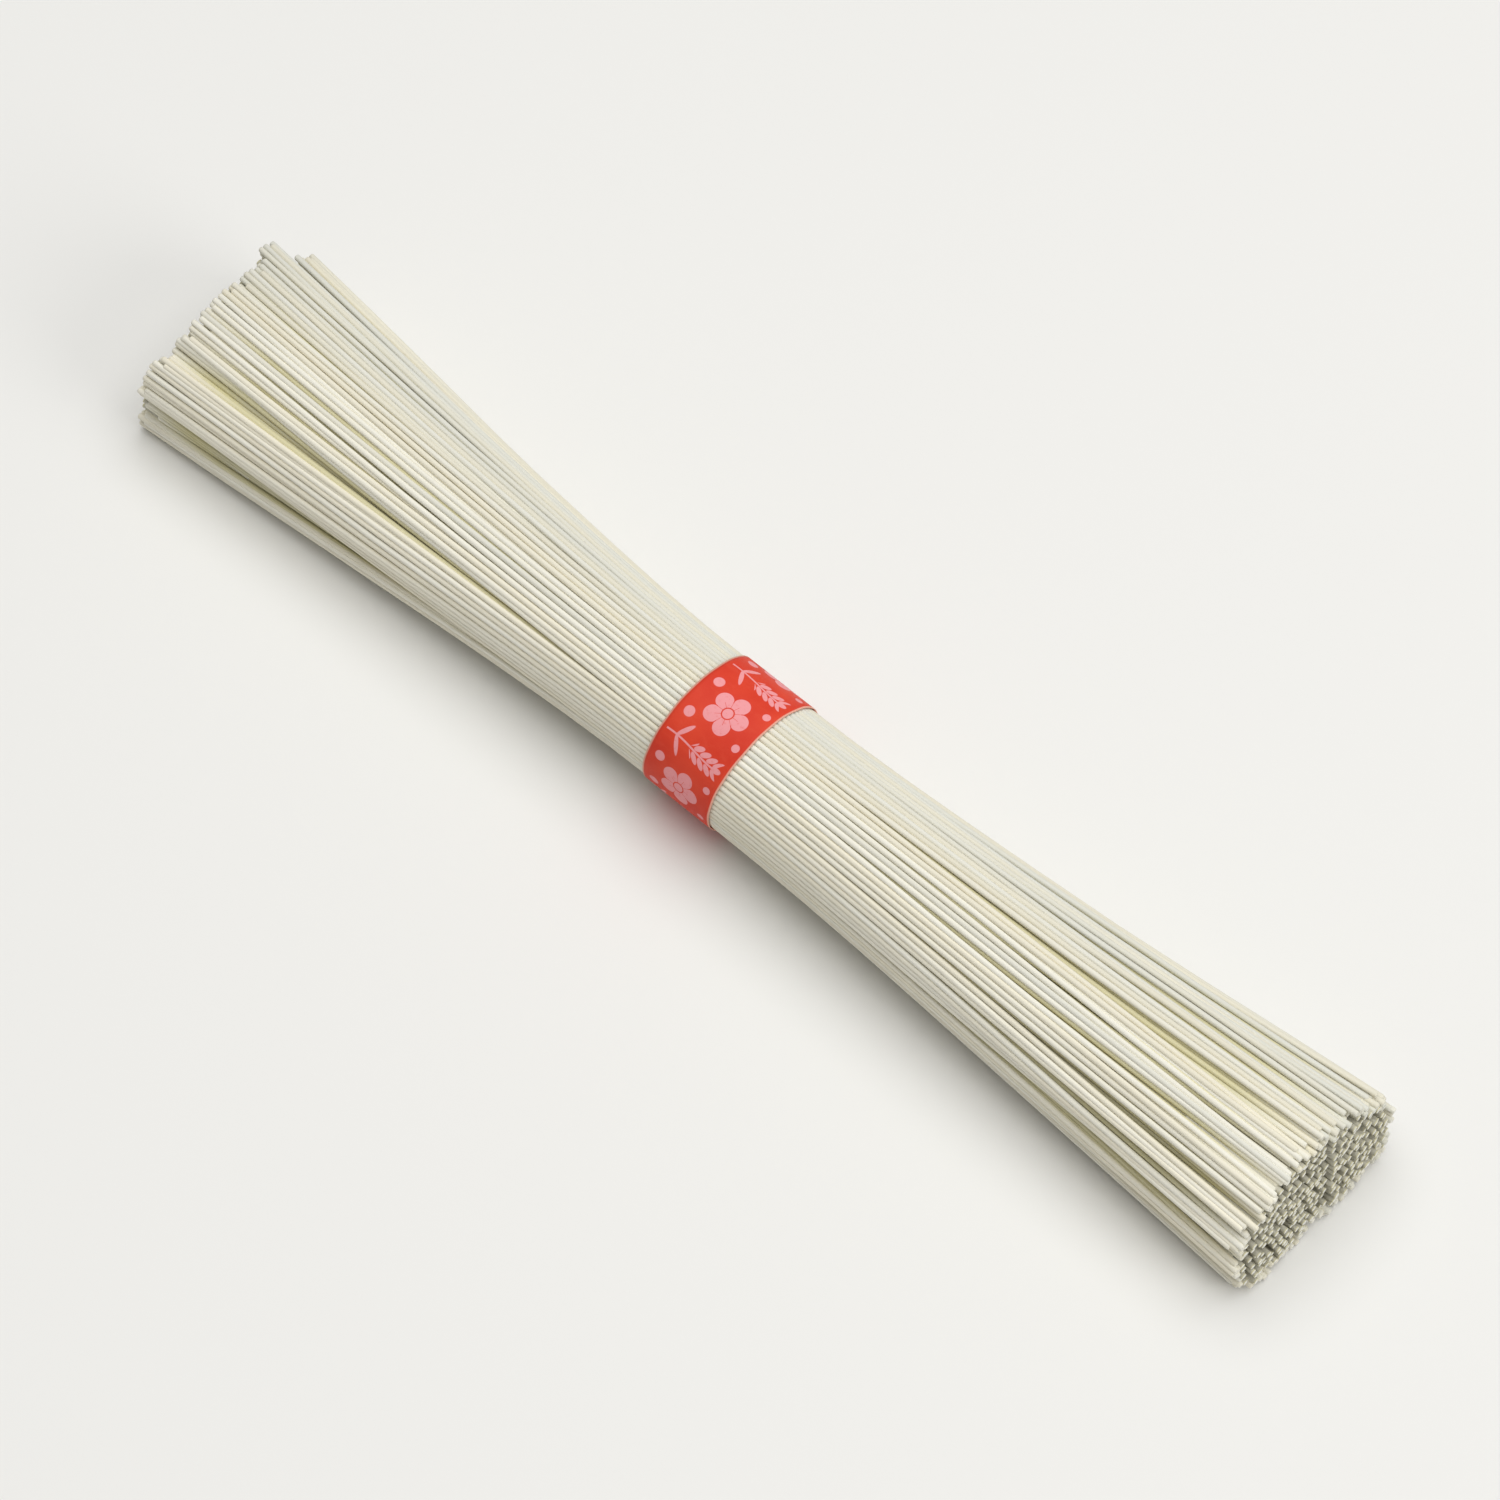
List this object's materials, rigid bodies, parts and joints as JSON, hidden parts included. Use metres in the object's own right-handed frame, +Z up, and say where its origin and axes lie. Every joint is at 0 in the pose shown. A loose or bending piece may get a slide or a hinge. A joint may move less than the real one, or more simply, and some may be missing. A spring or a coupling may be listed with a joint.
{
  "type": "bundle of somen noodles",
  "caption": "Bundle of dried thin wheat noodles lying on its side, bound near its middle by a red paper band, with both cut ends fanned out.",
  "frame": {"origin": "on the table, under the middle of the bundle's bounding box", "axes": "+X along the noodles, towards the end that opens into the wider fan of clumps; +Y across them, towards the side that both fans sweep to; +Z up from the table"},
  "size_m": [0.1922, 0.0318, 0.0212],
  "materials": {
    "noodle_dough": "matt pale cream, as dried wheat dough",
    "band_paper": "red printed paper, slightly satin"
  },
  "bodies": {
    "root": {"noodles": "noodle_dough", "paper_band": "band_paper"}
  },
  "joints": []
}
